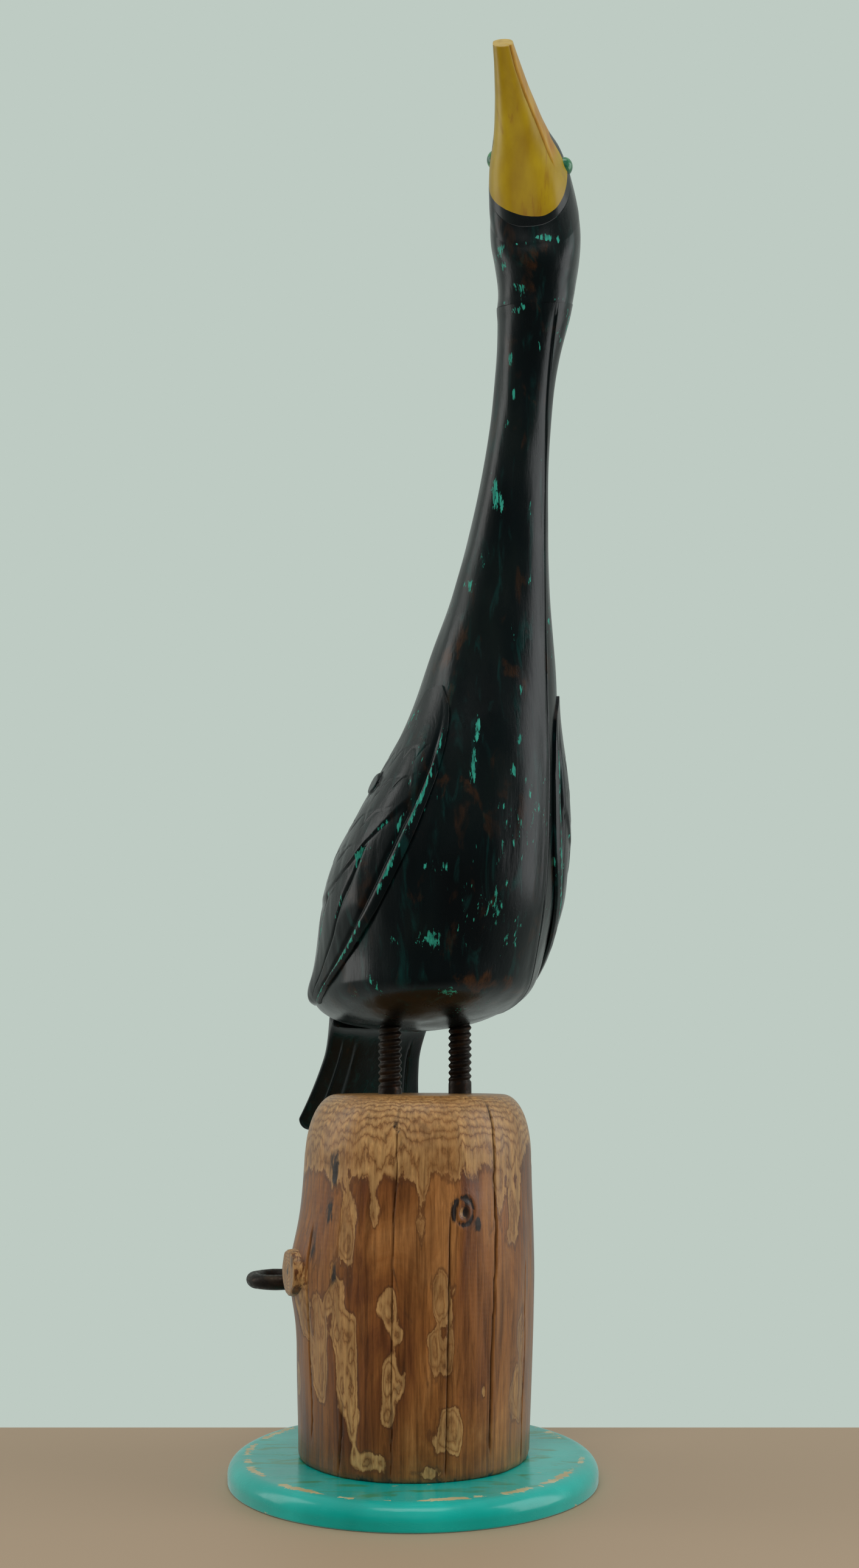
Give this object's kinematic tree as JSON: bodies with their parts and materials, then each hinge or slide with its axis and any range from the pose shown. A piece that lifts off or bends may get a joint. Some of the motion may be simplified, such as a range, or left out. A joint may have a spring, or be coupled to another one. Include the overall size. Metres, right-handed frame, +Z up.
{
  "type": "carved bird on a post",
  "caption": "Carved and painted wooden cormorant with its bill up, standing on lag-screw legs on a peeled log post with an eyebolt and a round base board.",
  "frame": {"origin": "centre of the round base board's underside", "axes": "+Z up; -Y is the front view, with the bird facing -Y turned 20 degrees to +X; +X is the viewer's right; the eyebolt is on the -X side"},
  "size_m": [0.296, 0.3256, 1.076],
  "materials": {
    "board_paint": "satin turquoise paint on wood, worn to cream along the edge",
    "log_wood": "varnished peeled log",
    "iron": "old dark iron",
    "black_paint": "black-green paint over wood, glossy varnish, worn to turquoise",
    "yellow_paint": "mustard-yellow paint, glossy varnish",
    "eye_paint": "green painted bead, gloss",
    "dowel_wood": "plain birch dowel",
    "screw_steel": "plain steel"
  },
  "bodies": {
    "root": {"base_disc": "board_paint", "base_screws": "screw_steel", "log_post": "log_wood", "right_leg_screw": "iron", "left_leg_screw": "iron", "eyebolt": "iron", "body_core": "black_paint", "body_left_board": "black_paint", "body_dowels": "dowel_wood", "right_wing": "black_paint", "left_wing": "black_paint", "wing_dowels": "dowel_wood", "tail": "black_paint", "tail_screws": "screw_steel", "neck_dowel": "dowel_wood", "head": "black_paint", "bill_dowel": "dowel_wood", "bill": "yellow_paint", "right_eye": "eye_paint", "left_eye": "eye_paint"}
  },
  "joints": []
}
